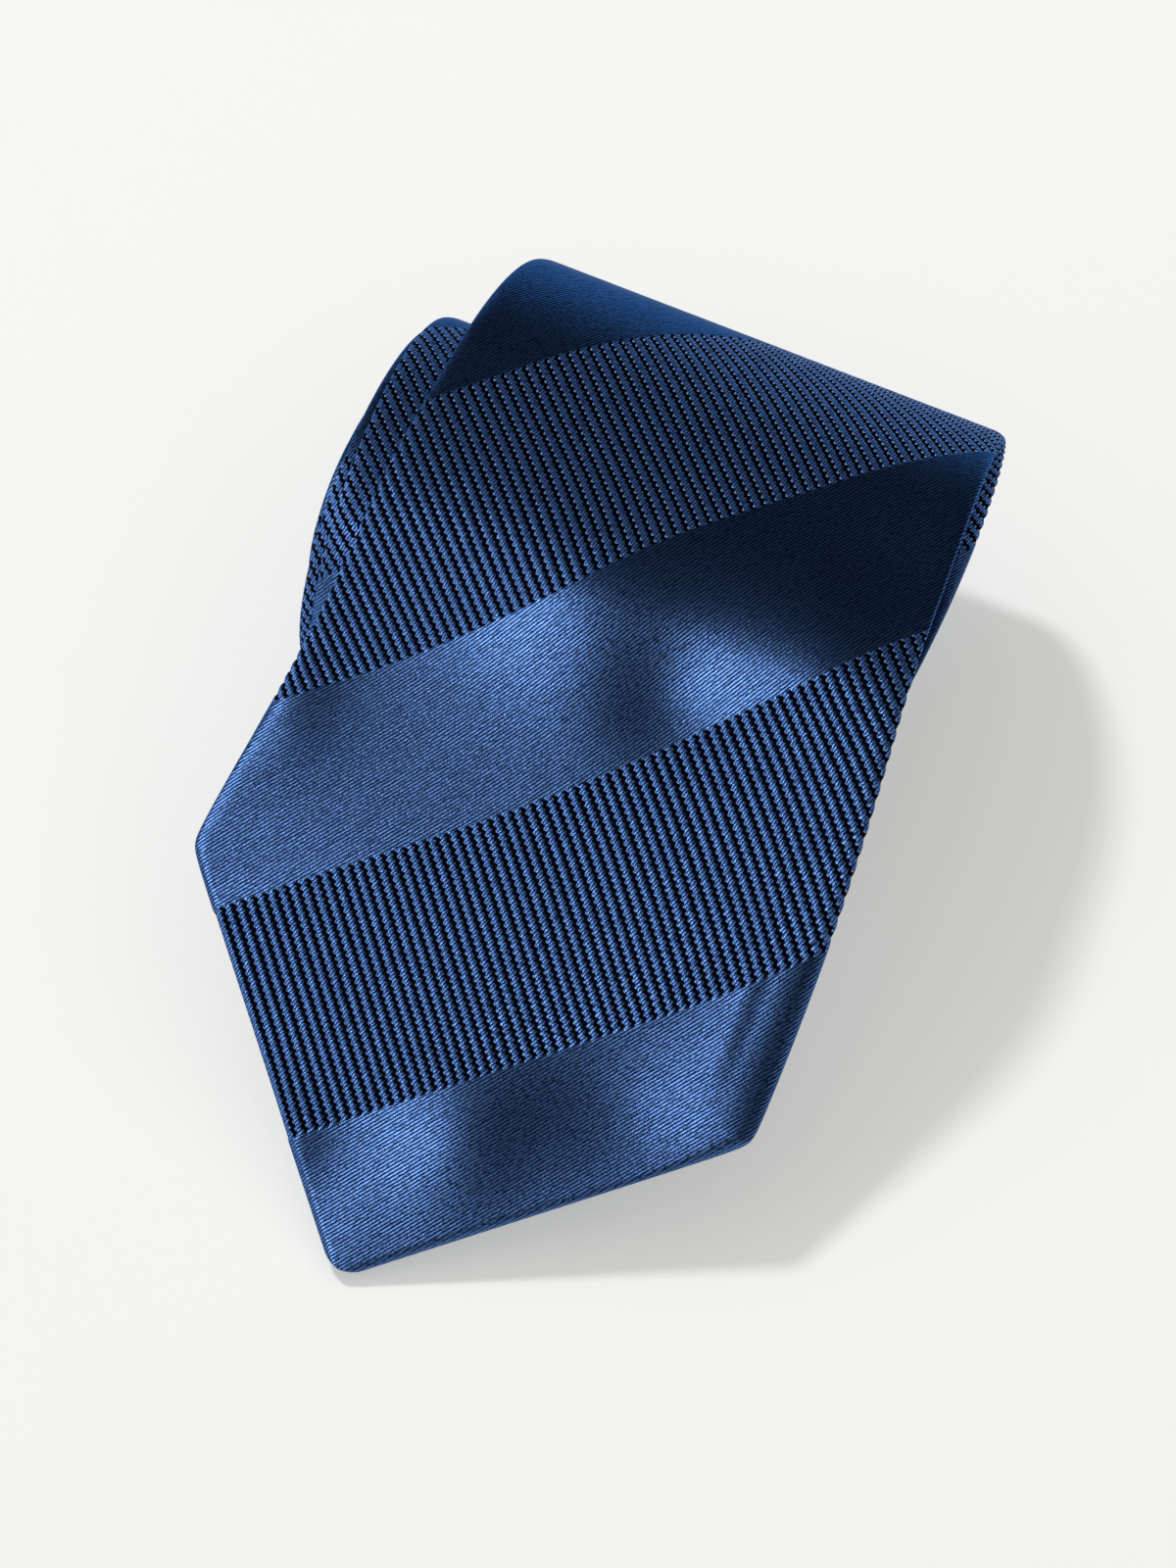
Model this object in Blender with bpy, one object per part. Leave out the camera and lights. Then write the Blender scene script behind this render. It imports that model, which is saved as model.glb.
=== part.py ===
"""A silk necktie, rolled up from its narrow end, with the wide blade's free end lying forward over the roll.

Everything is one long layered strip. A point of the strip is (u, v, n): u across, positive to the wearer's
side that faces +X, v along the middle from the blade's tip, and n inwards from the front face. The strip
follows a path in the YZ plane: a straight free end, a loose first turn and then a round spiral. Metres, +Z up.
"""

import math

import bmesh
import bpy
import numpy as np

MM = 0.001

# Outline of the flat tie, in millimetres
WIDTHS = (
    (0, 80.0),
    (40, 80.0),
    (146, 64.4),
    (300, 60.0),
    (500, 49.0),
    (650, 41.5),
    (760, 38.5),
    (920, 38.5),
    (1060, 46.0),
    (1440, 50.0),
)  # distance from the blade's tip, full width
TIP_BLUNT = 1.5
HEM = 12.7
OPENING_END = 75.0
SEAM_HALF_GAP = 0.3
BLADE_END = 620.0
NECK_END = 930.0
INTERLINING_JOIN = 700.0

# Layers, in millimetres inwards from the front face
CLOTH = 0.30
THICKNESS = 1.34
INTERLINING = (0.35, 0.82)
TIPPING = (0.86, 0.97)
KEEPER = (1.38, 1.53)
LABEL = (1.38, 1.50)
TACK = (1.38, 1.76)
LOOP_DEPTH = 1.20

# The roll, in millimetres
PITCH = 1.62
OUTER_RADIUS = 27.4
INNER_RADIUS = 24.7
CORE_RADIUS = 2.0
FRONT_CENTRE_Y = 91.5
LOOSE_CENTRE_Y = 102.5
REAR_CENTRE_Y = 92.7
ROLL_CENTRE_Z = OUTER_RADIUS - PITCH / 2
ARC_STEP = 22.5
TIP_FACE_Z = 1.6
DRIFTS = (
    (118, 0.0),
    (240, -8.0),
    (320, -12.9),
    (390, -13.8),
    (440, -16.8),
    (520, -18.2),
    (640, -20.5),
    (760, -22.0),
)  # distance from the blade's tip, how far the strip's middle has moved along X

# The free end's slight turn in its own plane, which fades out towards the roll
TURN = math.radians(5.1)
FADE_FROM = 46.0
FADE_TO = 88.0
FREE_STATIONS = (HEM, 26.0, 40.0, 46.0, 54.0, 60.0, 66.0, 70.0, OPENING_END, 82.0, FADE_TO)

# Small pieces, in millimetres
JOINT_HALF_GAP = 0.15
KEEPER_START = 207.0
KEEPER_WIDTH = 12.0
KEEPER_HALF_LENGTH = 21.0
TACK_PLACE = 77.0

# Colours, roughness
NAVY = (0.012, 0.035, 0.115)
NAVY_BACK = (0.010, 0.028, 0.090)
LINING_NAVY = (0.008, 0.020, 0.065)
WOOL = (0.62, 0.60, 0.54)
THREAD = (0.010, 0.025, 0.085)
LABEL_BLUE = (0.02, 0.03, 0.07)


def clear_scene():
    for obj in list(bpy.data.objects):
        bpy.data.objects.remove(obj, do_unlink=True)


def material(name, colour, roughness):
    made = bpy.data.materials.new(name)
    made.use_nodes = True
    shader = made.node_tree.nodes["Principled BSDF"]
    shader.inputs["Base Color"].default_value = (*colour, 1.0)
    shader.inputs["Roughness"].default_value = roughness
    shader.inputs["Metallic"].default_value = 0.0
    made.diffuse_color = (*colour, 1.0)
    return made


def smooth(value, low, high):
    t = min(1.0, max(0.0, (value - low) / (high - low)))
    return t * t * (3 - 2 * t)


def first_bend(angle):
    """The front face's place and outward normal where the free end bends onto the roll at this many degrees."""
    a = math.radians(angle)
    normal = np.array([-math.sin(a), math.cos(a)])
    return np.array([FRONT_CENTRE_Y, ROLL_CENTRE_Z]) + OUTER_RADIUS * normal, normal


def free_slope():
    """The slope, in degrees, of the line from the tip that touches the roll from above."""
    drop = ROLL_CENTRE_Z - TIP_FACE_Z
    reach = math.hypot(FRONT_CENTRE_Y, drop)
    return math.degrees(math.atan2(drop, FRONT_CENTRE_Y) + math.asin(OUTER_RADIUS / reach))


def build_path():
    """The polyline of stations, from the tip to the core: arrays of v, place and normal."""
    slope = free_slope()
    contact, normal = first_bend(slope)
    places = [np.array([0.0, TIP_FACE_Z]), contact]
    normals = [normal, normal]
    start_steps = math.ceil(slope / ARC_STEP)
    for i in range(1, start_steps):
        place, normal = first_bend(slope * (1 - i / start_steps))
        places.append(place)
        normals.append(normal)
    steps = round(180 / ARC_STEP)
    half_turn = 0
    radius = OUTER_RADIUS
    while radius > CORE_RADIUS:
        up = 1.0 if half_turn % 2 == 0 else -1.0
        rear = LOOSE_CENTRE_Y if half_turn < 2 else REAR_CENTRE_Y
        ends = (FRONT_CENTRE_Y, rear) if up > 0 else (rear, FRONT_CENTRE_Y)
        following = INNER_RADIUS if half_turn == 1 else radius - PITCH / 2
        for y in ends:
            places.append(np.array([y, ROLL_CENTRE_Z + up * radius]))
            normals.append(np.array([0.0, up]))
        for i in range(1, steps):
            a = -math.radians(180 * half_turn + ARC_STEP * i)
            step_radius = radius + (following - radius) * i / steps
            normal = np.array([-math.sin(a), math.cos(a)])
            places.append(np.array([ends[1], ROLL_CENTRE_Z]) + step_radius * normal)
            normals.append(normal)
        radius = following
        half_turn += 1
    places = np.array(places)
    normals = np.array(normals)
    middles = places - normals * THICKNESS / 2
    lengths = np.linalg.norm(np.diff(middles, axis=0), axis=1)
    return np.concatenate([[0.0], np.cumsum(lengths)]), places, normals


PATH_V, PATH_PLACE, PATH_NORMAL = build_path()
HINGE_V = PATH_V[1]
TIE_LENGTH = PATH_V[-1]


def half_width(v):
    knots = np.array(WIDTHS)
    half = np.interp(v, knots[:, 0], knots[:, 1]) / 2
    return min(half, v, TIE_LENGTH - v)


def opening_half(v):
    """Half the width of the gap between the two folded back panels: a slit that opens to a V at each end."""
    nearest = min(v, TIE_LENGTH - v)
    widest_at = half_width_corner(v)
    if nearest >= OPENING_END:
        return SEAM_HALF_GAP
    if nearest <= widest_at:
        return max(SEAM_HALF_GAP, nearest - HEM)
    share = (OPENING_END - nearest) / (OPENING_END - widest_at)
    return max(SEAM_HALF_GAP, (widest_at - HEM) * share)


def half_width_corner(v):
    """How far from its end the pointed part of the blade, or of the tail, is widest."""
    return WIDTHS[0][1] / 2 if v < TIE_LENGTH / 2 else WIDTHS[-1][1] / 2


def fade(v):
    return 1 - smooth(v, FADE_FROM, FADE_TO)


def sideways(v):
    """The strip's middle along X, against where it leaves the roll."""
    if v >= FADE_TO:
        knots = np.array(DRIFTS)
        return np.interp(v, knots[:, 0], knots[:, 1])
    steps = 40
    part = (FADE_TO - v) / steps
    return -sum(math.sin(TURN * fade(v + part * (i + 0.5))) for i in range(steps)) * part


def strip_point(u, v, n):
    """The place, in millimetres, of a point of the strip."""
    turned = TURN * fade(v)
    along = v - u * math.sin(turned)
    if along < 0:
        y, z = PATH_PLACE[0] + (PATH_PLACE[1] - PATH_PLACE[0]) * along / PATH_V[1]
    else:
        y = np.interp(along, PATH_V, PATH_PLACE[:, 0])
        z = np.interp(along, PATH_V, PATH_PLACE[:, 1])
    normal_y = np.interp(max(along, 0.0), PATH_V, PATH_NORMAL[:, 0])
    normal_z = np.interp(max(along, 0.0), PATH_V, PATH_NORMAL[:, 1])
    x = sideways(v) + u * math.cos(turned)
    return x, y - n * normal_y, z - n * normal_z


def stations(start, end):
    """The distances along the strip at which every layer has a section, so that the layers stay parallel."""
    tail_stations = tuple(TIE_LENGTH - v for v in (HEM, WIDTHS[-1][1] / 2, OPENING_END))
    inside = [v for v in (*PATH_V, *FREE_STATIONS, *tail_stations) if start + 0.2 < v < end - 0.2]
    return sorted({start, *inside, end})


def swept(sections):
    """Vertices and faces of a closed tube through sections with the same number of points."""
    count = len(sections[0])
    points = [strip_point(*corner) for section in sections for corner in section]
    faces = [tuple(range(count))]
    for i in range(len(sections) - 1):
        for j in range(count):
            following = (j + 1) % count
            a, b = i * count + j, i * count + following
            faces.append((a, a + count, b + count, b))
    faces.append(tuple(reversed(range(len(points) - count, len(points)))))
    return points, faces


def slab(start, end, left, right, layer):
    """A closed layer of the strip: left and right are functions of v, or numbers."""
    sections = []
    for v in stations(start, end):
        low = left(v) if callable(left) else left
        high = right(v) if callable(right) else right
        outer, inner = layer
        sections.append([(low, v, outer), (high, v, outer), (high, v, inner), (low, v, inner)])
    return swept(sections)


def envelope(start, end):
    """The cloth folded round the interlining: a front panel, two edges and two back panels."""
    sections = []
    for v in stations(start, end):
        half = half_width(v)
        inside = half - CLOTH
        slit = opening_half(v)
        back = THICKNESS - CLOTH
        sections.append(
            [
                (-half, v, 0.0),
                (half, v, 0.0),
                (half, v, THICKNESS),
                (slit, v, THICKNESS),
                (slit, v, back),
                (inside, v, back),
                (inside, v, CLOTH),
                (-inside, v, CLOTH),
                (-inside, v, back),
                (-slit, v, back),
                (-slit, v, THICKNESS),
                (-half, v, THICKNESS),
            ]
        )
    return swept(sections)


def ring(centre_v, long_radius, short_radius, tube, depth, around=20, sides=6):
    """A thread loop lying flat in the strip."""
    points = []
    for i in range(around):
        a = 2 * math.pi * i / around
        for j in range(sides):
            b = 2 * math.pi * j / sides
            reach = tube * math.cos(b)
            u = (short_radius + reach) * math.sin(a)
            v = centre_v + (long_radius + reach) * math.cos(a)
            points.append(strip_point(u, v, depth + tube * math.sin(b)))
    faces = []
    for i in range(around):
        for j in range(sides):
            a, b = i * sides + j, i * sides + (j + 1) % sides
            c, d = (i + 1) % around * sides + (j + 1) % sides, (i + 1) % around * sides + j
            faces.append((a, b, c, d))
    return points, faces


def place(name, shape, finish, parent, origin):
    """Makes the object, with its mesh in metres about the parent's place."""
    points, faces = shape
    mesh = bpy.data.meshes.new(name)
    shape_mesh = bmesh.new()
    made = [shape_mesh.verts.new(np.array(point) * MM - origin) for point in points]
    for face in faces:
        shape_mesh.faces.new([made[i] for i in face])
    bmesh.ops.recalc_face_normals(shape_mesh, faces=shape_mesh.faces)
    shape_mesh.to_mesh(mesh)
    shape_mesh.free()
    mesh.materials.append(finish)
    obj = bpy.data.objects.new(name, mesh)
    bpy.context.collection.objects.link(obj)
    obj.parent = parent
    return obj


def empty(name, location):
    made = bpy.data.objects.new(name, None)
    made.location = location
    bpy.context.collection.objects.link(made)
    return made


def inset(distance):
    return lambda v: -(half_width(v) - distance), lambda v: half_width(v) - distance


def shells():
    """The three pieces of folded silk. The blade's is in two, because its free end turns on the roll."""
    gap = JOINT_HALF_GAP
    return {
        "blade_shell_free_end": envelope(TIP_BLUNT, HINGE_V - gap),
        "blade_shell_rolled": envelope(HINGE_V + gap, BLADE_END - 2 * gap),
        "neck_shell": envelope(BLADE_END + 2 * gap, NECK_END - 2 * gap),
        "tail_shell": envelope(NECK_END + 2 * gap, TIE_LENGTH - TIP_BLUNT),
    }


def interlinings():
    gap = JOINT_HALF_GAP
    left, right = inset(CLOTH + 0.15)
    return {
        "blade_interlining_free_end": slab(5.0, HINGE_V - gap, left, right, INTERLINING),
        "blade_interlining_rolled": slab(HINGE_V + gap, INTERLINING_JOIN, left, right, INTERLINING),
        "tail_interlining": slab(INTERLINING_JOIN + 4 * gap, TIE_LENGTH - 5.0, left, right, INTERLINING),
    }


def tippings():
    left, right = inset(CLOTH + 0.4)
    return {
        "blade_tipping": slab(6.0, 86.0, left, right, TIPPING),
        "tail_tipping": slab(TIE_LENGTH - 80.0, TIE_LENGTH - 6.0, left, right, TIPPING),
    }


def keeper():
    """The loop across the back that holds the narrow end, pressed flat by the roll, and its end stitches."""
    end = KEEPER_START + KEEPER_WIDTH
    half = KEEPER_HALF_LENGTH
    stitch = (half + 0.1, half + 0.7)
    return {
        "keeper_loop": slab(KEEPER_START, end, -half, half, KEEPER),
        "keeper_stitch_left": slab(KEEPER_START + 1, end - 1, -stitch[1], -stitch[0], KEEPER),
        "keeper_stitch_right": slab(KEEPER_START + 1, end - 1, stitch[0], stitch[1], KEEPER),
    }


def labels():
    return {
        "maker_label_blank": slab(232.0, 254.0, -17.0, 17.0, LABEL),
        "care_label_blank": slab(268.0, 284.0, -9.0, 9.0, LABEL),
    }


def threads():
    """Stitches: the long one that closes the back, its slack loop, the bar tacks and the piecing seams."""
    gap = JOINT_HALF_GAP
    half = SEAM_HALF_GAP - 0.12
    seam = (THICKNESS - 0.33, THICKNESS - 0.03)
    tail_tack = TIE_LENGTH - TACK_PLACE
    across, back_across = inset(CLOTH + 0.1)
    joint = (0.03, CLOTH - 0.03)
    return {
        "slip_stitch_free_end": slab(80.0, HINGE_V - gap, -half, half, seam),
        "slip_stitch_rolled": slab(HINGE_V + gap, tail_tack - 2, -half, half, seam),
        "slack_thread_loop": ring(66.5, 3.2, 2.0, 0.16, LOOP_DEPTH),
        "blade_bar_tack": slab(TACK_PLACE, TACK_PLACE + 1.2, -3.5, 3.5, TACK),
        "tail_bar_tack": slab(tail_tack - 1, tail_tack, -2.5, 2.5, LABEL),
        "blade_to_neck_seam": slab(BLADE_END - gap, BLADE_END + gap, across, back_across, joint),
        "neck_to_tail_seam": slab(NECK_END - gap, NECK_END + gap, across, back_across, joint),
        "interlining_join_stitch": slab(
            INTERLINING_JOIN + gap, INTERLINING_JOIN + 3 * gap, across, back_across, INTERLINING
        ),
    }


def bounds_middle(shapes):
    """The middle of the box in X and Y, so that the model can stand on its own origin."""
    points = np.concatenate([np.array(points) for points, _ in shapes.values()]) * MM
    middle = (points.min(axis=0) + points.max(axis=0)) / 2
    return np.array([middle[0], middle[1], points[:, 2].min()])


def main():
    clear_scene()
    finishes = {
        "silk": material("silk", NAVY, 0.38),
        "lining": material("tipping_lining", LINING_NAVY, 0.45),
        "wool": material("wool_interlining", WOOL, 0.95),
        "thread": material("silk_thread", THREAD, 0.5),
        "label": material("label_ribbon", LABEL_BLUE, 0.6),
        "keeper": material("keeper_silk", NAVY_BACK, 0.4),
    }
    groups = (
        (shells(), "silk"),
        (interlinings(), "wool"),
        (tippings(), "lining"),
        (keeper(), "keeper"),
        (labels(), "label"),
        (threads(), "thread"),
    )
    everything = {name: shape for group, _ in groups for name, shape in group.items()}
    middle = bounds_middle(everything)
    hinge_place = np.array([0.0, *PATH_PLACE[1]]) * MM - middle
    roll = empty("roll", (0.0, 0.0, 0.0))
    free_end = empty("free_end", hinge_place)
    free_end.parent = roll
    lifting = {
        "blade_shell_free_end",
        "blade_interlining_free_end",
        "blade_tipping",
        "slip_stitch_free_end",
        "slack_thread_loop",
        "blade_bar_tack",
    }
    for group, finish in groups:
        for name, shape in group.items():
            moves = name in lifting
            parent = free_end if moves else roll
            origin = middle + (hinge_place if moves else 0.0)
            place(name, shape, finishes[finish], parent, origin)


main()
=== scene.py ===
"""The rolled necktie's looks: ribbed and satin silk, folded, rolled and lit as on a pale table.

Every piece of cloth is a stretch of the same strip. A point of the strip is (u, v, n), in millimetres: u
across, v along the middle from the blade's tip, n inwards from the front face. The strip's middle follows a
straight free end, a loose turn and then a spiral, as the CAD pieces do.
"""

import math

import bpy
import numpy as np
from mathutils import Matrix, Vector


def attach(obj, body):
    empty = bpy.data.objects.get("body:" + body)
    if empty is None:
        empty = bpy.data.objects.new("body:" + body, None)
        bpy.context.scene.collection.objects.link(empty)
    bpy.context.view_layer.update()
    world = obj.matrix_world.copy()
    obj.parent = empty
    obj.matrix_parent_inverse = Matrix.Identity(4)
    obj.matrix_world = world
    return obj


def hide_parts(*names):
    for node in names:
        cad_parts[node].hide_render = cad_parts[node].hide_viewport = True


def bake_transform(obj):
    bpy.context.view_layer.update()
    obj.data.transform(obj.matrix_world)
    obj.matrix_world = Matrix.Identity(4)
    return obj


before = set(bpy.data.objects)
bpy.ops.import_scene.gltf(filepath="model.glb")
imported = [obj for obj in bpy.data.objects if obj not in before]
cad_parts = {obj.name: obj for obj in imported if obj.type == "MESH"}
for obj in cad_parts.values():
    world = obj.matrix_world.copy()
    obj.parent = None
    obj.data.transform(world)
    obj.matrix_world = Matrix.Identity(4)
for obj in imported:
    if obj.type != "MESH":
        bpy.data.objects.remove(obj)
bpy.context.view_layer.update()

MM = 0.001

# The flat tie's outline: distance from the blade's tip, full width
WIDTHS = (
    (0, 80.0), (40, 80.0), (146, 64.4), (300, 60.0), (500, 49.0),
    (650, 41.5), (760, 38.5), (920, 38.5), (1060, 46.0), (1440, 50.0),
)
TIP_RADIUS = 3.8
CORNER_SOFTNESS = 1.5
HEM = 12.7
OPENING_END = 75.0
SEAM_HALF_GAP = 0.3
BLADE_END = 620.0
NECK_END = 930.0
INTERLINING_JOIN = 700.0

# Layers: depths from the front face
CLOTH = 0.30
THICKNESS = 1.34
INTERLINING = (0.35, 0.82)
TIPPING = (0.86, 0.97)
KEEPER = (1.38, 1.53)
LABEL = (1.38, 1.50)
TACK = (1.76, 2.16)
SLIP_STITCH = (-0.18, 0.18, (1.37, 1.67))  # from u, to u, depths
SEAM = (0.03, 0.32)
INTERLINING_INSET = 3.2
LAYER_COLUMNS = 25

# Rows of the silk's meshes: their spacing, and the first ones at the rounded tip
ROW = 0.33
ROLLED_ROW = 0.8
SEAM_GAP = 0.2
TIP_ROWS = (0.003, 0.03, 0.1, 0.2, 0.35)
TIP_ROWS_END = 0.55

# The silk's rounded edges: radius, and its largest share of half the width
FRONT_ROUND = (1.9, 0.6)
BACK_ROUND = (1.6, 0.3)
TURNED_IN = 0.25  # how far the back panels' edges turn in at the slit, as a share of the panel

# The roll, in the frame's own place
PITCH = 1.62
OUTER_RADIUS = 27.4
INNER_RADIUS = 24.7
CORE_RADIUS = 2.0
ROLL_CENTRE_Z = OUTER_RADIUS - PITCH / 2
TIP_FACE_Z = 1.6
FRAME_Y = 65.327
FRAME_X = -4.568
FRONT_CENTRE_Y = 91.5 - FRAME_Y
LOOSE_CENTRE_Y = 102.5 - FRAME_Y
REAR_CENTRE_Y = 92.7 - FRAME_Y
DRIFTS = (
    (118, 0.0), (240, -8.0), (320, -12.9), (390, -13.8),
    (440, -16.8), (520, -18.2), (640, -20.5), (760, -22.0),
)  # distance from the blade's tip, how far the strip's middle has moved along X
DRIFT_SOFTNESS = 30.0
TURN = math.radians(5.1)
TILT = 0.05
FADE_FROM = 46.0
FADE_TO = 88.0

# Where the pieces that cross the hinge end
FRONT_END = 213.0
WOOL_FRONT_END = 200.0

# The padded front's own shape: a low crown, and bumps as (u, v, reach in u, reach in v, height)
CROWN = 0.9
SWELLS = (
    (-7.0, 92.0, 13.0, 11.0, 1.4),
    (8.0, 84.0, 7.5, 7.5, -1.2),
    (27.0, 94.0, 10.0, 10.0, 1.4),
    (-38.0, 63.0, 6.0, 9.0, 0.9),
    (26.0, 110.0, 9.0, 9.0, -0.6),
    (-14.0, 13.0, 5.5, 6.0, 1.1),
    (7.0, 23.0, 7.0, 9.0, 0.9),
    (22.0, 37.0, 10.0, 9.0, -0.8),
    (39.0, 56.0, 9.0, 20.0, 1.4),
)
CREASE_FALL = 0.3
SWELL_FADE_FROM = 100.0
SWELL_FADE_TO = 135.0

# The weave: stripes rise to the right at STRIPE_ANGLE, and ribs run square to them
STRIPE_ANGLE = math.radians(45)
STRIPE_PERIOD = 52.6
RIB_BAND = 29.8
RIB_BAND_START = 18.2
RIB_PITCH = 1.47
RIB_DEPTH = 0.24
GROOVE_WIDTH = 0.27
EASES = ((160.0, 290.0, 30.5), (325.0, 385.0, 27.0))  # from v, to v, gain


def smooth(value, low, high):
    t = np.clip((value - low) / (high - low), 0.0, 1.0)
    return t * t * (3 - 2 * t)


# ---------------------------------------------------------------- the strip


def build_path():
    """v, place and slope angle along the front face, every 2 degrees of bend."""
    drop = ROLL_CENTRE_Z - TIP_FACE_Z
    reach = FRONT_CENTRE_Y + FRAME_Y
    slope = math.atan2(drop, reach) + math.asin(OUTER_RADIUS / math.hypot(reach, drop))
    step = math.radians(2)
    rows = [(-FRAME_Y, TIP_FACE_Z, slope)]
    for a in np.linspace(slope, 0, max(2, round(slope / step))):
        rows.append(arc_row(a, OUTER_RADIUS, FRONT_CENTRE_Y))
    radius = OUTER_RADIUS
    half_turn = 0
    while radius > CORE_RADIUS:
        rear = LOOSE_CENTRE_Y if half_turn < 2 else REAR_CENTRE_Y
        centre = rear if half_turn % 2 == 0 else FRONT_CENTRE_Y
        following = INNER_RADIUS if half_turn == 1 else radius - PITCH / 2
        count = round(math.pi / step)
        for i in range(count + 1):
            a = -math.pi * (half_turn + i / count)
            rows.append(arc_row(a, radius + (following - radius) * i / count, centre))
        radius = following
        half_turn += 1
    rows = np.array(rows)
    normal = np.stack([-np.sin(rows[:, 2]), np.cos(rows[:, 2])], axis=1)
    middle = rows[:, :2] - normal * THICKNESS / 2
    lengths = np.linalg.norm(np.diff(middle, axis=0), axis=1)
    return np.concatenate([[0.0], np.cumsum(lengths)]), rows


def arc_row(angle, radius, centre_y):
    return centre_y - radius * math.sin(angle), ROLL_CENTRE_Z + radius * math.cos(angle), angle


PATH_V, PATH = build_path()
TIE_LENGTH = PATH_V[-1]
KNOTS = np.array(WIDTHS)


def fade(v):
    return 1 - smooth(v, FADE_FROM, FADE_TO)


def half_width(v):
    half = np.interp(v, KNOTS[:, 0], KNOTS[:, 1]) / 2
    return np.minimum(np.minimum(half, v), TIE_LENGTH - v)


def opening_half(v):
    """Half the gap between the two back panels: a slit that opens to a V at each end."""
    nearest = np.minimum(v, TIE_LENGTH - v)
    corner = np.where(v < TIE_LENGTH / 2, WIDTHS[0][1] / 2, WIDTHS[-1][1] / 2)
    rising = nearest - HEM
    share = (OPENING_END - nearest) / (OPENING_END - corner)
    falling = (corner - HEM) * np.clip(share, 0, 1)
    return np.maximum(SEAM_HALF_GAP, np.where(nearest <= corner, rising, falling))


def sideways_table():
    fine = np.linspace(-20.0, FADE_TO, 800)
    step = fine[1] - fine[0]
    bend = np.sin(TURN * fade(fine)) * step
    ahead = -np.cumsum(bend[::-1])[::-1]
    return fine, ahead


SIDE_V, SIDE_X = sideways_table()


def drift(v):
    knots = np.array(DRIFTS)
    offsets = np.linspace(-DRIFT_SOFTNESS, DRIFT_SOFTNESS, 7)
    return sum(np.interp(v + offset, knots[:, 0], knots[:, 1]) for offset in offsets) / len(offsets)


def sideways(v):
    return np.where(v < FADE_TO, np.interp(v, SIDE_V, SIDE_X), drift(v)) - FRAME_X


def swell(u, v):
    """The gentle hollows and rises of the padded cloth, outwards from the front face."""
    across = np.clip(u / np.maximum(half_width(v), 1.0), -1, 1)
    rise = CROWN * (1 - across ** 2) ** 2 * smooth(v, 0.0, 30.0)
    for middle_u, middle_v, reach_u, reach_v, height in SWELLS:
        bump = np.exp(-((u - middle_u) / reach_u) ** 2 - ((v - middle_v) / reach_v) ** 2)
        rise = rise + height * bump * (1 - np.abs(across) ** 16)
    crease = smooth(across, 0.80, 0.87) * smooth(v, 40.0, 54.0) * (1 - smooth(v, 60.0, 90.0))
    rise = rise - CREASE_FALL * crease
    return rise * (1 - smooth(v, SWELL_FADE_FROM, SWELL_FADE_TO))


def strip_points(u, v, n):
    """The places, in metres, of points of the strip, as an array of rows."""
    u, v, n = (np.asarray(value, float) for value in np.broadcast_arrays(u, v, n))
    turned = TURN * fade(v)
    along = v - u * np.sin(turned)
    y = np.interp(along, PATH_V, PATH[:, 0])
    z = np.interp(along, PATH_V, PATH[:, 1])
    angle = np.interp(along, PATH_V, PATH[:, 2])
    before = np.minimum(along, 0.0)
    y = y + before * np.cos(PATH[0, 2])
    z = z + before * np.sin(PATH[0, 2])
    lift = swell(u, v) - n
    x = sideways(v) + u * np.cos(turned)
    y = y - lift * np.sin(angle)
    z = z + lift * np.cos(angle) - TILT * fade(v) * u
    return np.stack([x, y, z], axis=-1) * MM


# ---------------------------------------------------------------- the weave


def weave_axes(c, v):
    """How far a point of the cloth is along the stripes, and across them."""
    along = c * math.cos(STRIPE_ANGLE) + v * math.sin(STRIPE_ANGLE)
    across = -c * math.sin(STRIPE_ANGLE) + v * math.cos(STRIPE_ANGLE)
    return along, across


def cloth_length(v):
    """The cloth's own coordinate along it. Hidden in the roll, the weave gains a little on the strip."""
    return v + sum(gain * smooth(v, start, end) for start, end, gain in EASES)


def rib_grooves(c, v):
    """0 on a rib's crown and on satin, 1 at the bottom of the groove between two ribs."""
    along, across = weave_axes(c, v)
    phase = (across - RIB_BAND_START) % STRIPE_PERIOD
    inside = smooth(phase, 0.0, 0.5) * (1 - smooth(phase, RIB_BAND - 0.5, RIB_BAND))
    off = np.abs((along / RIB_PITCH) % 1.0 - 0.5) * RIB_PITCH
    return inside * np.exp(-((RIB_PITCH / 2 - off) / GROOVE_WIDTH) ** 2)


# ---------------------------------------------------------------- meshes


def grid_object(name, u, v, n, c, ribs=0.0, close=False):
    """A sheet through a grid of strip points, with the cloth's own coordinates as its UV map."""
    rows, columns = u.shape
    points = strip_points(u, v, n).reshape(-1, 3)
    index = np.arange(rows * columns).reshape(rows, columns)
    if close:
        index = np.concatenate([index, index[:, :1]], axis=1)
    quads = np.stack([index[:-1, :-1], index[:-1, 1:], index[1:, 1:], index[1:, :-1]], axis=-1)
    faces = quads.reshape(-1, 4).tolist()
    if close:
        faces += [index[0, -2::-1].tolist(), index[-1, :-1].tolist()]
    mesh = bpy.data.meshes.new(name)
    mesh.from_pydata(points.tolist(), [], faces)
    weave = np.stack([c, cloth_length(np.broadcast_to(v, c.shape))], axis=-1).reshape(-1, 2)
    layer = mesh.uv_layers.new(name="weave")
    corners = np.empty(len(mesh.loops), np.int32)
    mesh.loops.foreach_get("vertex_index", corners)
    layer.uv.foreach_set("vector", weave[corners].astype(np.float32).ravel())
    mesh.shade_smooth()
    if ribs:
        normals = np.empty(len(points) * 3, np.float32)
        mesh.vertex_normals.foreach_get("vector", normals)
        depth = rib_grooves(weave[:, 0], weave[:, 1]) * ribs * MM
        points = points - normals.reshape(-1, 3) * depth[:, None]
        mesh.vertices.foreach_set("co", points.astype(np.float32).ravel())
        mesh.update()
    made = bpy.data.objects.new(name, mesh)
    bpy.context.collection.objects.link(made)
    return made


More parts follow.
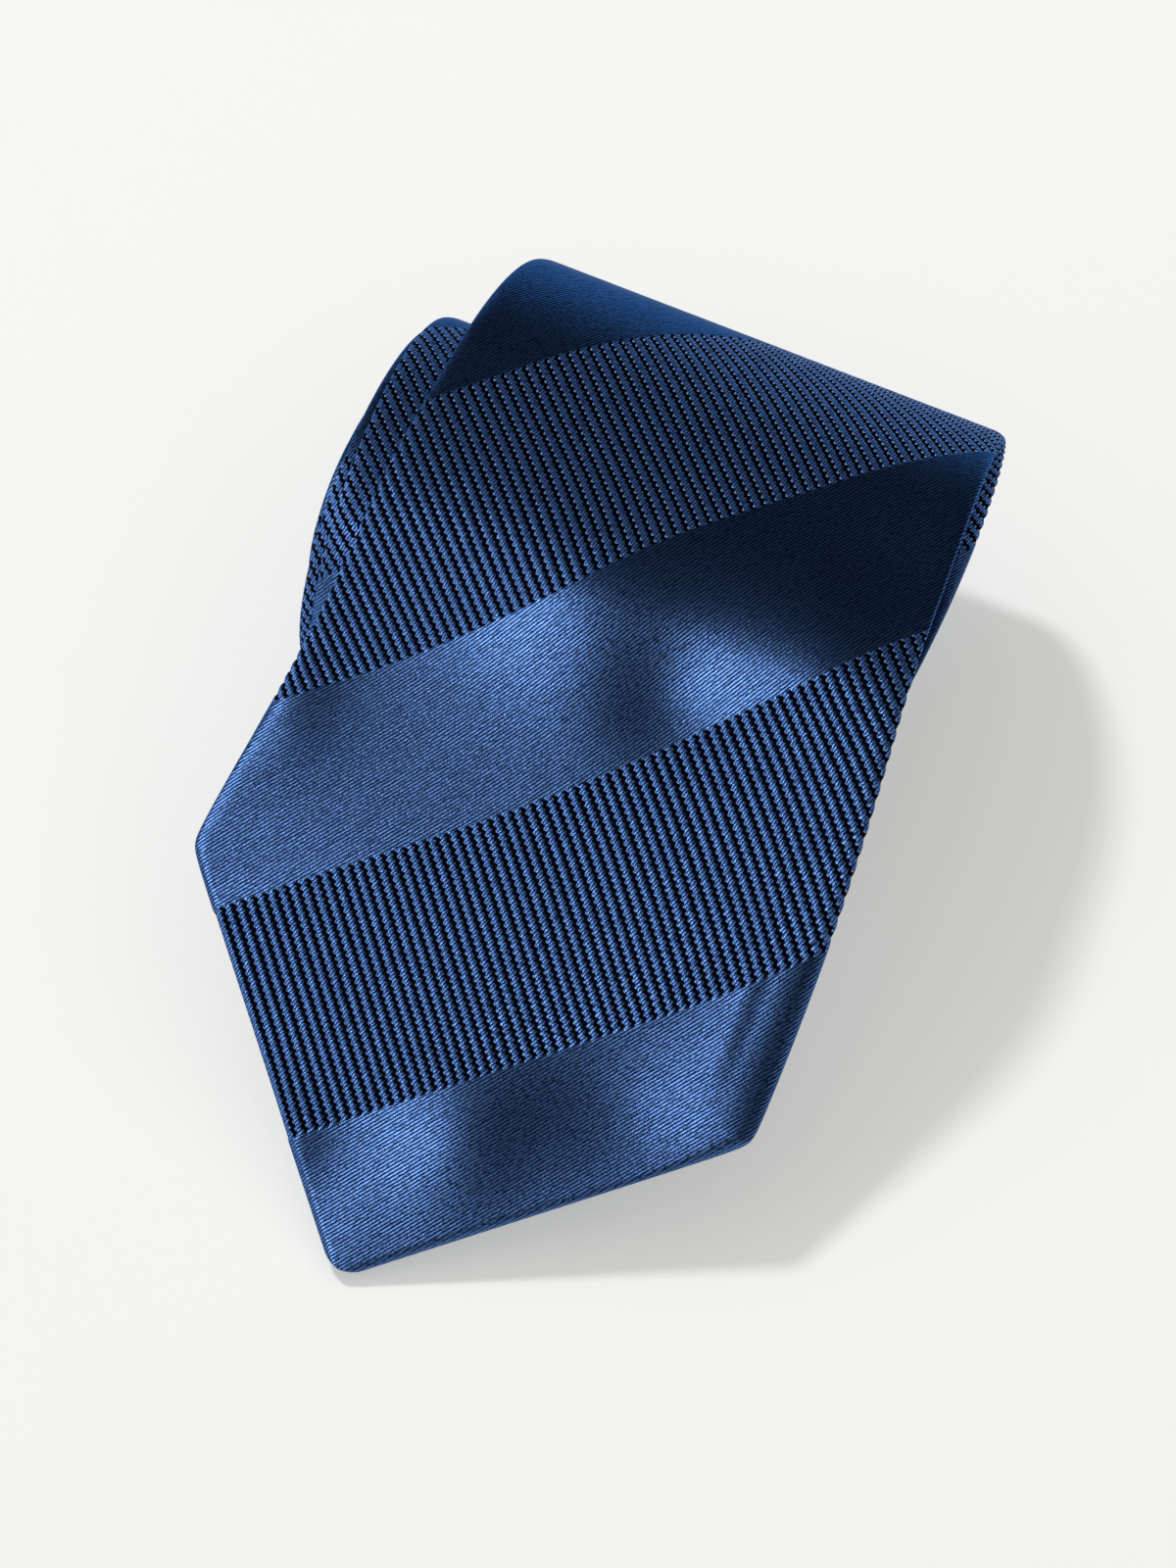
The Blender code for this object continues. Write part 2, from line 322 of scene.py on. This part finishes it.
def across_lengths(u, n):
    """The cloth's own coordinate across, from its middle."""
    steps = np.hypot(np.diff(u, axis=1), np.diff(n, axis=1))
    length = np.concatenate([np.zeros((len(u), 1)), np.cumsum(steps, axis=1)], axis=1)
    middle = u.shape[1] // 2
    return length - length[:, middle:middle + 1]


def silk(name, v_rows, front_columns, edge_columns, back_columns, ribs=0.0):
    """A stretch of the folded silk: front, rounded edges, back panels, their edges turned in at the slit."""
    v = np.asarray(v_rows, float)[:, None]
    half = rounded_half_width(v)
    round_front = np.minimum(FRONT_ROUND[0], half * FRONT_ROUND[1])
    round_back = np.minimum(BACK_ROUND[0], half * BACK_ROUND[1])
    slit = np.minimum(opening_half(v), np.maximum(half - round_back - 0.4, 0.05))
    t = np.linspace(0, 1, front_columns // 2 + 1)[None, :]
    front_u = t * (half - round_front)
    bend = np.linspace(0, math.pi / 2, edge_columns + 1)[None, 1:]
    edge_u = half - round_front * (1 - np.sin(bend))
    edge_n = THICKNESS / 2 * (1 - np.cos(bend)) + 0 * half
    under = np.linspace(0, math.pi / 2, max(3, edge_columns // 2) + 1)[None, 1:]
    under_u = half - round_back * (1 - np.cos(under))
    under_n = THICKNESS / 2 * (1 + np.sin(under)) + 0 * half
    s = np.linspace(0, 1, back_columns + 1)[None, 1:]
    back_u = (half - round_back) * (1 - s) + slit * s
    turned_u = np.concatenate([slit, slit + TURNED_IN * (half - slit)], axis=1)
    turned_n = np.concatenate([0 * half + THICKNESS - 0.2, 0 * half + THICKNESS - CLOTH], axis=1)
    right_u = np.concatenate([front_u, edge_u, under_u, back_u, turned_u], axis=1)
    right_n = np.concatenate([0 * front_u, edge_n, under_n, 0 * back_u + THICKNESS, turned_n], axis=1)
    u = np.concatenate([-right_u[:, :0:-1], right_u], axis=1)
    n = np.concatenate([right_n[:, :0:-1], right_n], axis=1)
    return grid_object(name, u, np.broadcast_to(v, u.shape), n, across_lengths(u, n), ribs)


def rounded_half_width(v):
    """The outline with a softly rounded tip and corners."""
    nearest = np.minimum(v, TIE_LENGTH - v)
    side = np.interp(v, KNOTS[:, 0], KNOTS[:, 1]) / 2
    ahead = math.sqrt(2) * TIP_RADIUS - nearest
    arc = np.sqrt(np.maximum(TIP_RADIUS ** 2 - ahead ** 2, 1e-4))
    point = np.where(nearest < TIP_RADIUS / math.sqrt(2), arc, nearest)
    gap = side - point
    return (side + point - np.sqrt(gap ** 2 + CORNER_SOFTNESS)) / 2


def layer(name, start, end, left, right, depths, step=1.5):
    """A closed flat layer inside the fold, such as the interlining, declared at its flat size."""
    v = np.linspace(start, end, max(2, round((end - start) / step)))[:, None]
    low = left(v) if callable(left) else left + 0 * v
    high = right(v) if callable(right) else right + 0 * v
    share = np.linspace(0, 1, LAYER_COLUMNS)[None, :]
    outer = low + (high - low) * share
    u = np.concatenate([outer, outer[:, ::-1]], axis=1)
    n = np.repeat([depths], LAYER_COLUMNS, axis=1) + 0 * v
    made = grid_object(name, u, np.broadcast_to(v, u.shape), n, u, close=True)
    return made


def inset(distance):
    return lambda v: -(half_width(v) - distance), lambda v: half_width(v) - distance


# ---------------------------------------------------------------- materials


class Graph:
    """Short names for building a material's nodes."""

    def __init__(self, name):
        self.material = bpy.data.materials.new(name)
        self.material.use_nodes = True
        self.nodes = self.material.node_tree.nodes
        self.links = self.material.node_tree.links
        self.shader = self.nodes["Principled BSDF"]

    def feed(self, socket, value):
        if isinstance(value, bpy.types.NodeSocket):
            self.links.new(value, socket)
        else:
            socket.default_value = value

    def math(self, operation, *values, clamp=False):
        node = self.nodes.new("ShaderNodeMath")
        node.operation = operation
        node.use_clamp = clamp
        for socket, value in zip(node.inputs, values):
            self.feed(socket, value)
        return node.outputs[0]

    def step(self, value, low, high):
        """0 below low and 1 above high, smoothly, or the other way round where low is above high."""
        node = self.nodes.new("ShaderNodeMapRange")
        node.interpolation_type = "SMOOTHSTEP"
        self.feed(node.inputs["Value"], value)
        node.inputs["From Min"].default_value = min(low, high)
        node.inputs["From Max"].default_value = max(low, high)
        node.inputs["To Min"].default_value = float(low > high)
        node.inputs["To Max"].default_value = float(low <= high)
        return node.outputs["Result"]

    def mix(self, share, first, second):
        node = self.nodes.new("ShaderNodeMix")
        node.data_type = "RGBA"
        self.feed(node.inputs[0], share)
        self.feed(node.inputs[6], first)
        self.feed(node.inputs[7], second)
        return node.outputs[2]

    def noise(self, vector, scale, detail=2.0):
        node = self.nodes.new("ShaderNodeTexNoise")
        self.links.new(vector, node.inputs["Vector"])
        node.inputs["Scale"].default_value = scale
        node.inputs["Detail"].default_value = detail
        return node.outputs["Fac"]

    def vector(self, x, y, z=0.0):
        node = self.nodes.new("ShaderNodeCombineXYZ")
        for socket, value in zip(node.inputs, (x, y, z)):
            self.feed(socket, value)
        return node.outputs[0]

    def weave(self):
        """The cloth's own coordinates, in millimetres."""
        node = self.nodes.new("ShaderNodeUVMap")
        node.uv_map = "weave"
        split = self.nodes.new("ShaderNodeSeparateXYZ")
        self.links.new(node.outputs[0], split.inputs[0])
        return split.outputs[0], split.outputs[1]

    def turned(self, x, y, angle):
        """Coordinates along a direction at this angle, and across it."""
        cos, sin = math.cos(angle), math.sin(angle)
        along = self.math("ADD", self.math("MULTIPLY", x, cos), self.math("MULTIPLY", y, sin))
        across = self.math("SUBTRACT", self.math("MULTIPLY", y, cos), self.math("MULTIPLY", x, sin))
        return along, across

    def bump(self, height, distance, strength=1.0):
        node = self.nodes.new("ShaderNodeBump")
        node.inputs["Distance"].default_value = distance
        node.inputs["Strength"].default_value = strength
        self.links.new(height, node.inputs["Height"])
        self.links.new(node.outputs[0], self.shader.inputs["Normal"])

    def finish(self, **values):
        for name, value in values.items():
            self.feed(self.shader.inputs[name.replace("_", " ")], value)
        return self.material


# The silk's colours and weave: lengths in millimetres
SATIN = (0.118, 0.240, 0.560, 1.0)
SATIN_SHADE = (0.004, 0.014, 0.060, 1.0)
RIB = (0.180, 0.400, 1.0, 1.0)
RIB_SHADE = (0.005, 0.018, 0.080, 1.0)
# Near black in the grooves between ribs: the dark ground weave, together with painted shade in the recess
GROOVE_WEAVE_AND_SHADE = (0.0006, 0.0014, 0.0060, 1.0)
# A painted highlight: the pale glint on one side of each rib's toothed edge
PAINTED_GLINT = (0.33, 0.54, 1.0, 1.0)
EDGE_TINT = (0.25, 0.38, 0.62, 1.0)
SATIN_ROUGHNESS = 0.33
SATIN_METALLIC = 0.97
GLINT_METALLIC_LOSS = 0.70
RIB_METALLIC_LOSS = 0.19
SERRATION = 0.87
GROOVE_REACH = 0.30
TOOTH = 0.14
RIB_THREAD = 0.43
RIB_THREAD_SLANT = -0.75
FLOAT_PITCH = 0.41
FLOAT_TURN = math.radians(12)
SILK_BUMP = 0.00007  # metres

# The other cloths: dark and light colour, thread pitch, roughness
WOOL = ((0.40, 0.38, 0.33, 1.0), (0.72, 0.70, 0.63, 1.0), 0.8, 0.95)
LINING = ((0.006, 0.014, 0.045, 1.0), (0.018, 0.045, 0.13, 1.0), 0.3, 0.42)
RIBBON = ((0.012, 0.02, 0.05, 1.0), (0.05, 0.07, 0.14, 1.0), 0.25, 0.4)


def wave(g, value, pitch):
    """A sine of the value, from 0 to 1, one turn each pitch."""
    turns = g.math("MULTIPLY", value, 2 * math.pi / pitch)
    return g.math("MULTIPLY_ADD", g.math("SINE", turns), 0.5, 0.5)


def rib_layout(g, along, across):
    """The groove between ribs with its toothed edges, a painted highlight (glint) on one side of each tooth,
    and the place across a rib.
    """
    turns = g.math("DIVIDE", along, RIB_PITCH)
    cell = g.math("SUBTRACT", g.math("FRACT", turns), 0.5)
    side = g.math("SIGN", cell)
    off = g.math("MULTIPLY", g.math("SUBTRACT", 0.5, g.math("ABSOLUTE", cell)), RIB_PITCH)
    teeth = g.math("MULTIPLY_ADD", side, math.pi / 2, g.math("MULTIPLY", across, 2 * math.pi / SERRATION))
    tooth = g.math("SINE", teeth)
    edge = g.math("SUBTRACT", g.math("MULTIPLY_ADD", tooth, TOOTH, GROOVE_REACH), off)
    # The glint is a painted highlight, on the groove's rim on one side of each rib only
    rim = g.math("MULTIPLY", g.step(edge, -0.20, -0.06), g.step(edge, 0.08, 0.0))
    glint = g.math("MULTIPLY", g.math("MULTIPLY", rim, g.step(cell, 0.0, -0.1)), g.step(tooth, -0.1, -0.7))
    return g.step(edge, -0.06, 0.08), glint, cell


def silk_material(name):
    """Satin ground with raised rib stripes."""
    g = Graph(name)
    x, y = g.weave()
    along, across = g.turned(x, y, STRIPE_ANGLE)
    phase = g.math("FLOORED_MODULO", g.math("SUBTRACT", across, RIB_BAND_START), STRIPE_PERIOD)
    band = g.math("MULTIPLY", g.step(phase, 0.0, 0.2), g.step(phase, RIB_BAND, RIB_BAND - 0.2))
    groove, glint, cell = rib_layout(g, along, across)
    groove = g.math("MULTIPLY", groove, band)
    glint = g.math("MULTIPLY", glint, band)
    # Threads laid across each rib, a little slanted, and broken by their own unevenness
    slanted = g.math("MULTIPLY_ADD", cell, RIB_THREAD_SLANT, across)
    uneven = g.noise(g.vector(g.math("MULTIPLY", along, 1.6), g.math("MULTIPLY", across, 1.5)), 1.0, 3.0)
    threads = wave(g, g.math("MULTIPLY_ADD", uneven, 0.30, slanted), RIB_THREAD)
    threads = g.math("MULTIPLY", threads, g.step(uneven, 0.20, 0.60))
    # Satin's long floats, a little steeper than the stripes, with thin dark lines between them
    float_along, float_across = g.turned(x, y, STRIPE_ANGLE + FLOAT_TURN)
    broken = g.noise(
        g.vector(g.math("MULTIPLY", float_along, 1.5), g.math("MULTIPLY", float_across, 2.8)), 1.0, 3.0
    )
    floats = wave(g, g.math("MULTIPLY_ADD", broken, 0.22, float_across), FLOAT_PITCH)
    floats = g.math("MULTIPLY", g.math("POWER", floats, 0.7), g.step(broken, 0.10, 0.60))
    satin_colour = g.mix(g.math("MULTIPLY_ADD", floats, 1.0, 0.04, clamp=True), SATIN_SHADE, SATIN)
    rib_colour = g.mix(g.math("MULTIPLY_ADD", threads, 1.0, 0.06, clamp=True), RIB_SHADE, RIB)
    # The grooves are painted near black: dark ground weave plus painted shade in the recess
    colour = g.mix(groove, g.mix(band, satin_colour, rib_colour), GROOVE_WEAVE_AND_SHADE)
    # Paints the glint's pale highlight onto the rim of each rib's teeth
    colour = g.mix(glint, colour, PAINTED_GLINT)
    satin_relief = g.math("MULTIPLY", g.math("SUBTRACT", 1.0, band), g.math("MULTIPLY", floats, 0.6))
    rib_relief = g.math("MULTIPLY", band, threads)
    height = g.math("SUBTRACT", g.math("ADD", satin_relief, rib_relief), g.math("MULTIPLY", groove, 2.0))
    g.bump(height, SILK_BUMP)
    roughness = g.math("MULTIPLY_ADD", groove, 0.3, g.math("MULTIPLY_ADD", broken, 0.10, SATIN_ROUGHNESS))
    dull = g.math("MULTIPLY_ADD", glint, GLINT_METALLIC_LOSS, g.math("MULTIPLY", band, RIB_METALLIC_LOSS))
    g.feed(g.shader.inputs["Metallic"], g.math("SUBTRACT", SATIN_METALLIC, dull))
    g.shader.inputs["Specular IOR Level"].default_value = 0.5
    g.shader.inputs["Specular Tint"].default_value = EDGE_TINT
    return g.finish(Base_Color=colour, Roughness=roughness)


def plain_cloth(name, dark, light, pitch, roughness):
    """A plain weave: threads over and under each other both ways."""
    g = Graph(name)
    x, y = g.weave()
    along, across = g.turned(x, y, math.pi / 4)
    weft = wave(g, along, pitch)
    warp = wave(g, across, pitch)
    check = g.math("ABSOLUTE", g.math("SUBTRACT", weft, warp))
    blotch = g.noise(g.vector(x, y), 0.8, 3.0)
    share = g.math("MULTIPLY", check, g.math("MULTIPLY_ADD", blotch, 0.8, 0.4))
    g.bump(check, 0.00005, 0.7)
    return g.finish(Base_Color=g.mix(share, dark, light), Roughness=roughness)


def thread_material():
    """Twisted silk thread: plies wound round it."""
    g = Graph("silk_thread")
    x, y = g.weave()
    plies = wave(g, g.math("MULTIPLY_ADD", x, 0.8, y), 0.4)
    colour = g.mix(plies, (0.008, 0.02, 0.07, 1.0), (0.04, 0.09, 0.24, 1.0))
    g.bump(plies, 0.00008, 0.8)
    return g.finish(Base_Color=colour, Roughness=0.45)


# ---------------------------------------------------------------- pieces


def dress(piece, finish, body, nodes):
    """Material, slot and nodes of a piece. With no body it crosses the hinge, and its place is baked into its
    mesh.
    """
    piece.data.materials.append(finish)
    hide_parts(*nodes)
    if body is None:
        bend_at_hinge(piece)
    else:
        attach(piece, body)


def bend_at_hinge(piece):
    """Bakes the piece's place into its mesh; the piece joins no body."""
    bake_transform(piece)


def make_pieces():
    silk_cloth = silk_material("silk")
    wool = plain_cloth("wool", *WOOL)
    lining = plain_cloth("lining", *LINING)
    ribbon = plain_cloth("ribbon", *RIBBON)
    thread = thread_material()
    make_silk(silk_cloth)
    make_interlining(wool)
    make_tippings(lining)
    make_small_pieces(silk_cloth, ribbon, thread)
    make_stitches(thread)
    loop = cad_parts["slack_thread_loop"]
    loop.data.materials.clear()
    loop.data.materials.append(thread)


def make_silk(silk_cloth):
    start = (math.sqrt(2) - 1) * TIP_RADIUS
    tip_rows = start + np.array(TIP_ROWS)
    rows = np.concatenate([tip_rows, np.arange(start + TIP_ROWS_END, FRONT_END, ROW), [FRONT_END]])
    front = silk(
        "blade_silk_front", rows, front_columns=240, edge_columns=10, back_columns=22, ribs=RIB_DEPTH
    )
    dress(front, silk_cloth, None, ("blade_shell_free_end", "blade_shell_rolled"))

    blade_rows = np.arange(FRONT_END, BLADE_END, ROLLED_ROW)
    neck_rows = np.arange(BLADE_END + SEAM_GAP, NECK_END, ROLLED_ROW)
    tail_rows = np.append(np.arange(NECK_END + SEAM_GAP, TIE_LENGTH - 1, ROLLED_ROW), TIE_LENGTH - 0.1)
    for name, rows, front_columns, flat, node in (
        ("blade_silk_rolled", blade_rows, 100, (0.115, 0.407), "blade_shell_rolled"),
        ("neck_silk", neck_rows, 80, (0.08, 0.31), "neck_shell"),
        ("tail_silk", tail_rows, 90, (0.095, 0.54), "tail_shell"),
    ):
        piece = silk(name, rows, front_columns, edge_columns=8, back_columns=8)
        dress(piece, silk_cloth, "roll", (node,))


def make_interlining(wool):
    """The blade's interlining is cut in two past the hinge, so that its front part alone crosses it, with no
    body.
    """
    low, high = inset(INTERLINING_INSET)
    front_nodes = ("blade_interlining_free_end", "blade_interlining_rolled")
    for name, start, end, body, nodes in (
        ("blade_interlining_front", 6.0, WOOL_FRONT_END, None, front_nodes),
        ("blade_interlining_rolled", WOOL_FRONT_END, INTERLINING_JOIN, "roll", front_nodes[1:]),
        ("tail_interlining", INTERLINING_JOIN + 0.6, TIE_LENGTH - 6, "roll", ("tail_interlining",)),
    ):
        piece = layer(name + "_wool", start, end, low, high, INTERLINING)
        dress(piece, wool, body, nodes)


def make_tippings(lining):
    low, high = inset(INTERLINING_INSET)
    for name, start, end, body in (
        ("blade_tipping", 7.0, 86.0, None),
        ("tail_tipping", TIE_LENGTH - 80, TIE_LENGTH - 7, "roll"),
    ):
        piece = layer(name + "_lining", start, end, low, high, TIPPING, 1.0)
        dress(piece, lining, body, (name,))


def make_small_pieces(silk_cloth, ribbon, thread):
    """The pieces on the back of the tie, and the threads of its seams, all inside the roll."""
    for name, start, end, left, right, depths, finish, slot in (
        ("keeper_loop", 207, 219, -21, 21, KEEPER, silk_cloth, "keeper_silk"),
        ("keeper_stitch_left", 208, 218, -21.7, -21.1, KEEPER, thread, "silk_thread"),
        ("keeper_stitch_right", 208, 218, 21.1, 21.7, KEEPER, thread, "silk_thread"),
        ("maker_label_blank", 232, 254, -17, 17, LABEL, ribbon, "label_ribbon"),
        ("care_label_blank", 268, 284, -9, 9, LABEL, ribbon, "label_ribbon"),
        ("slip_stitch_rolled", WOOL_FRONT_END, TIE_LENGTH - 79, *SLIP_STITCH, thread, "silk_thread"),
        ("tail_bar_tack", TIE_LENGTH - 78, TIE_LENGTH - 77, -2.5, 2.5, LABEL, thread, "silk_thread"),
        ("blade_to_neck_seam", 619.85, 620.15, -21.4, 21.4, SEAM, thread, "silk_thread"),
        ("neck_to_tail_seam", 929.85, 930.15, -18.8, 18.8, SEAM, thread, "silk_thread"),
        ("interlining_join_stitch", 700.15, 700.45, -19.5, 19.5, INTERLINING, thread, "silk_thread"),
    ):
        piece = layer(name + "_piece", start, end, left, right, depths)
        dress(piece, finish, "roll", (name,))


def make_stitches(thread):
    """The stitches on the free end. The slip stitch runs on over the bend."""
    stitch = layer("slip_stitch_front_piece", 80, WOOL_FRONT_END, *SLIP_STITCH)
    dress(stitch, thread, None, ("slip_stitch_free_end", "slip_stitch_rolled"))
    tack = layer("blade_bar_tack_piece", 77, 78.2, -3.5, 3.5, TACK)
    dress(tack, thread, None, ("blade_bar_tack",))


# ---------------------------------------------------------------- floor, light, camera

VIEW_AZIMUTH = math.radians(24.2)
VIEW_ELEVATION = math.radians(62.0)
VIEW_TARGET = Vector((0.00525, -0.00223, 0.03077))
VIEW_DISTANCE = 1.0
FRAME_HEIGHT = 0.19608
WHITE = (1.0, 1.0, 1.0)
FLOOR_HALF_SIDE = 3.0
FLOOR_COLOUR = (0.80, 0.80, 0.79, 1.0)
FLOOR_GLOW = {"Emission_Color": (1.0, 0.998, 0.95, 1.0), "Emission_Strength": 0.42}
WORLD_STRENGTH = 0.035


def make_camera():
    data = bpy.data.cameras.new("camera")
    data.lens = data.sensor_width * VIEW_DISTANCE / FRAME_HEIGHT
    data.clip_end = 20
    camera = bpy.data.objects.new("camera", data)
    bpy.context.collection.objects.link(camera)
    flat = math.cos(VIEW_ELEVATION)
    ahead = Vector(
        (-math.sin(VIEW_AZIMUTH) * flat, math.cos(VIEW_AZIMUTH) * flat, -math.sin(VIEW_ELEVATION))
    )
    camera.location = VIEW_TARGET - ahead * VIEW_DISTANCE
    camera.rotation_euler = ahead.to_track_quat("-Z", "Y").to_euler()
    bpy.context.scene.camera = camera


def area_light(name, direction, distance, size, power, colour=WHITE, reflected=True, lights=True):
    """A round lamp. It may be left out of reflections, or seen in reflections only."""
    data = bpy.data.lights.new(name, "AREA")
    data.shape = "DISK"
    data.size = size
    data.energy = power
    data.color = colour
    lamp = bpy.data.objects.new(name, data)
    bpy.context.collection.objects.link(lamp)
    towards = Vector(direction).normalized()
    lamp.location = VIEW_TARGET + towards * distance
    lamp.rotation_euler = (-towards).to_track_quat("-Z", "Y").to_euler()
    lamp.visible_glossy = reflected
    lamp.visible_diffuse = lights


def make_stage():
    mesh = bpy.data.meshes.new("floor")
    side = FLOOR_HALF_SIDE
    mesh.from_pydata(
        [(-side, -side, 0), (side, -side, 0), (side, side, 0), (-side, side, 0)], [], [(0, 1, 2, 3)]
    )
    floor = bpy.data.objects.new("floor", mesh)
    bpy.context.collection.objects.link(floor)
    g = Graph("floor")
    mesh.materials.append(g.finish(Base_Color=FLOOR_COLOUR, Roughness=0.9, **FLOOR_GLOW))
    world = bpy.data.worlds.new("studio")
    bpy.context.scene.world = world
    world.use_nodes = True
    back = world.node_tree.nodes["Background"]
    back.inputs[0].default_value = (*WHITE, 1.0)
    back.inputs[1].default_value = WORLD_STRENGTH
    area_light("key", (-0.42, 0.22, 0.88), 3.0, 0.36, 34.0, (0.97, 0.985, 1.0), reflected=False)
    area_light("fill", (0.0, 0.0, 1.0), 2.0, 4.0, 20.5, (1.0, 1.0, 0.975), reflected=False)
    area_light("panel", (-0.58, -0.56, 0.59), 1.3, 0.46, 8.6, lights=False)


make_camera()
make_stage()
make_pieces()
bpy.context.scene.view_settings.view_transform = "Standard"
